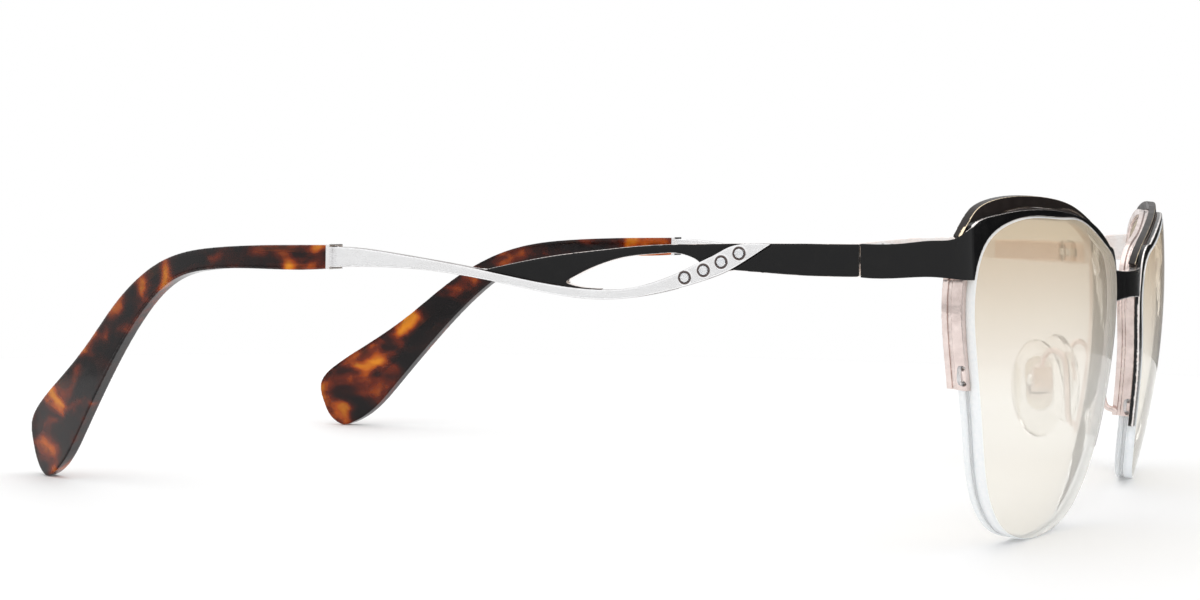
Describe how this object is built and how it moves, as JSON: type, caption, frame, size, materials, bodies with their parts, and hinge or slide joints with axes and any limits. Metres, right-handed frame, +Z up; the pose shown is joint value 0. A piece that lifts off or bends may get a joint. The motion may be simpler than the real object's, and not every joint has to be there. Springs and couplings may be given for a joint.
{
  "type": "half rim eyeglasses",
  "caption": "Half rim eyeglasses with a black metal brow, lenses held by nylon cord, adjustable nose pads, spring hinges and two-tone temples with tortoise tips.",
  "frame": {"origin": "centre of the bounding box seen from above, on the surface the glasses stand on", "axes": "+X towards the wearer's left, +Y from the lenses back towards the ears, +Z up"},
  "size_m": [0.1308, 0.1538, 0.0434],
  "materials": {
    "black_lacquer": "satin black lacquer over polished metal edges",
    "dark_brown_lacquer": "matt brown-black lacquer",
    "rose_gold": "polished rose gold plating",
    "silver": "satin silver plating",
    "steel": "turned steel",
    "tinted_lens": "polished plastic lens, tan at the top fading to clear",
    "crystal": "cut and polished",
    "clear_nylon": "clear nylon",
    "tortoise_acetate": "polished mottled brown and amber acetate",
    "soft_pad": "clear silicone"
  },
  "bodies": {
    "front": {"bridge": "black_lacquer", "lens_left": "tinted_lens", "lens_right": "tinted_lens", "rim_left": "rose_gold", "rim_right": "rose_gold", "rim_liner_left": "clear_nylon", "rim_liner_right": "clear_nylon", "nylon_cord_left": "clear_nylon", "nylon_cord_right": "clear_nylon", "front_plate_left": "black_lacquer", "front_plate_right": "black_lacquer", "brow_wing_left": "dark_brown_lacquer", "brow_wing_right": "dark_brown_lacquer", "hinge_base_left": "rose_gold", "hinge_base_right": "rose_gold", "hinge_screw_left": "steel", "hinge_screw_right": "steel", "pad_arm_left": "rose_gold", "pad_arm_right": "rose_gold", "pad_box_left": "rose_gold", "pad_box_right": "rose_gold", "pad_screw_left": "steel", "pad_screw_right": "steel"},
    "left_carriage": {"spring_carriage_left": "steel"},
    "left_temple": {"spring_housing_left": "rose_gold", "hinge_spring_left": "steel", "temple_bar_left": "black_lacquer", "temple_swoosh_left": "silver", "temple_crystals_left": "crystal", "temple_core_left": "steel", "temple_tip_left": "tortoise_acetate", "tip_collar_left": "silver"},
    "left_pad": {"pad_core_left": "steel", "nose_pad_left": "soft_pad"},
    "right_carriage": {"spring_carriage_right": "steel"},
    "right_temple": {"spring_housing_right": "rose_gold", "hinge_spring_right": "steel", "temple_bar_right": "black_lacquer", "temple_swoosh_right": "silver", "temple_crystals_right": "crystal", "temple_core_right": "steel", "temple_tip_right": "tortoise_acetate", "tip_collar_right": "silver"},
    "right_pad": {"pad_core_right": "steel", "nose_pad_right": "soft_pad"}
  },
  "joints": [
    {"name": "left_temple_fold", "type": "hinge", "parent": "front", "child": "left_carriage", "pos_m": [0.06145, -0.05767, 0.03526], "axis": [0, 0, 1], "range_deg": [0, 85]},
    {"name": "right_temple_fold", "type": "hinge", "parent": "front", "child": "right_carriage", "pos_m": [-0.06145, -0.05767, 0.03526], "axis": [0, 0, -1], "range_deg": [0, 73]},
    {"name": "left_spring_slide", "type": "slide", "parent": "left_carriage", "child": "left_temple", "axis": [0, 1, 0], "range_m": [0, 0.0009], "stiffness_N_per_m": 300, "springref_m": -0.004, "deforming": ["hinge_spring_left"]},
    {"name": "right_spring_slide", "type": "slide", "parent": "right_carriage", "child": "right_temple", "axis": [0, 1, 0], "range_m": [0, 0.0009], "stiffness_N_per_m": 300, "springref_m": -0.004, "deforming": ["hinge_spring_right"]},
    {"name": "left_pad_rock", "type": "hinge", "parent": "front", "child": "left_pad", "pos_m": [0.01146, -0.06638, 0.01827], "axis": [0.4067, 0.9135, 0], "range_deg": [-10, 10]},
    {"name": "right_pad_rock", "type": "hinge", "parent": "front", "child": "right_pad", "pos_m": [-0.01146, -0.06638, 0.01827], "axis": [-0.4067, 0.9135, 0], "range_deg": [-10, 10]}
  ]
}
